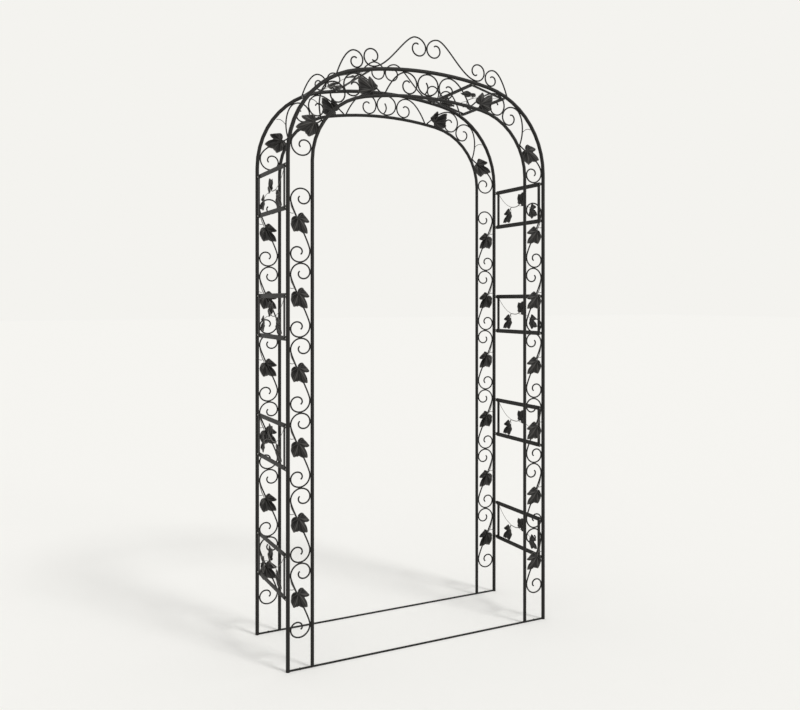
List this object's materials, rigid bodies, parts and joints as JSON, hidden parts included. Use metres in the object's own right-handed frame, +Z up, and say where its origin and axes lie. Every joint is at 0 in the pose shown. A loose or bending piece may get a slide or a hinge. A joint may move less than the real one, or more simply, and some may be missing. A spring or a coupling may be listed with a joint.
{
  "type": "garden arch",
  "caption": "Free-standing round-topped metal garden arch: double-tube frames filled with wire scrolls and vine leaves, joined by ladder panels, with a scrolled crest.",
  "frame": {"origin": "on the ground, midway between the four outer post feet", "axes": "+Z up, X across the width of the walkway, Y along the path through the arch; front is -Y"},
  "size_m": [1.159, 0.3982, 2.4044],
  "materials": {
    "black_powder_coat": "satin black powder coat"
  },
  "bodies": {
    "root": {"front_outer_arch_tube": "black_powder_coat", "front_inner_arch_tube": "black_powder_coat", "front_ground_bar": "black_powder_coat", "front_crown_scrolls": "black_powder_coat", "front_left_outer_post": "black_powder_coat", "front_left_inner_post": "black_powder_coat", "front_left_leg_scrolls": "black_powder_coat", "front_left_arch_scrolls": "black_powder_coat", "front_left_crest_s_scroll": "black_powder_coat", "front_left_crest_c_scroll": "black_powder_coat", "front_right_outer_post": "black_powder_coat", "front_right_inner_post": "black_powder_coat", "front_right_leg_scrolls": "black_powder_coat", "front_right_arch_scrolls": "black_powder_coat", "front_right_crest_s_scroll": "black_powder_coat", "front_right_crest_c_scroll": "black_powder_coat", "rear_outer_arch_tube": "black_powder_coat", "rear_inner_arch_tube": "black_powder_coat", "rear_ground_bar": "black_powder_coat", "rear_crown_scrolls": "black_powder_coat", "rear_left_outer_post": "black_powder_coat", "rear_left_inner_post": "black_powder_coat", "rear_left_leg_scrolls": "black_powder_coat", "rear_left_arch_scrolls": "black_powder_coat", "rear_left_crest_s_scroll": "black_powder_coat", "rear_left_crest_c_scroll": "black_powder_coat", "rear_right_outer_post": "black_powder_coat", "rear_right_inner_post": "black_powder_coat", "rear_right_leg_scrolls": "black_powder_coat", "rear_right_arch_scrolls": "black_powder_coat", "rear_right_crest_s_scroll": "black_powder_coat", "rear_right_crest_c_scroll": "black_powder_coat", "left_panel_1": "black_powder_coat", "left_vine_1": "black_powder_coat", "left_panel_2": "black_powder_coat", "left_vine_2": "black_powder_coat", "left_panel_3": "black_powder_coat", "left_vine_3": "black_powder_coat", "left_panel_4": "black_powder_coat", "left_vine_4": "black_powder_coat", "left_shoulder_panel": "black_powder_coat", "left_shoulder_vine": "black_powder_coat", "right_panel_1": "black_powder_coat", "right_vine_1": "black_powder_coat", "right_panel_2": "black_powder_coat", "right_vine_2": "black_powder_coat", "right_panel_3": "black_powder_coat", "right_vine_3": "black_powder_coat", "right_panel_4": "black_powder_coat", "right_vine_4": "black_powder_coat", "right_shoulder_panel": "black_powder_coat", "right_shoulder_vine": "black_powder_coat"}
  },
  "joints": []
}
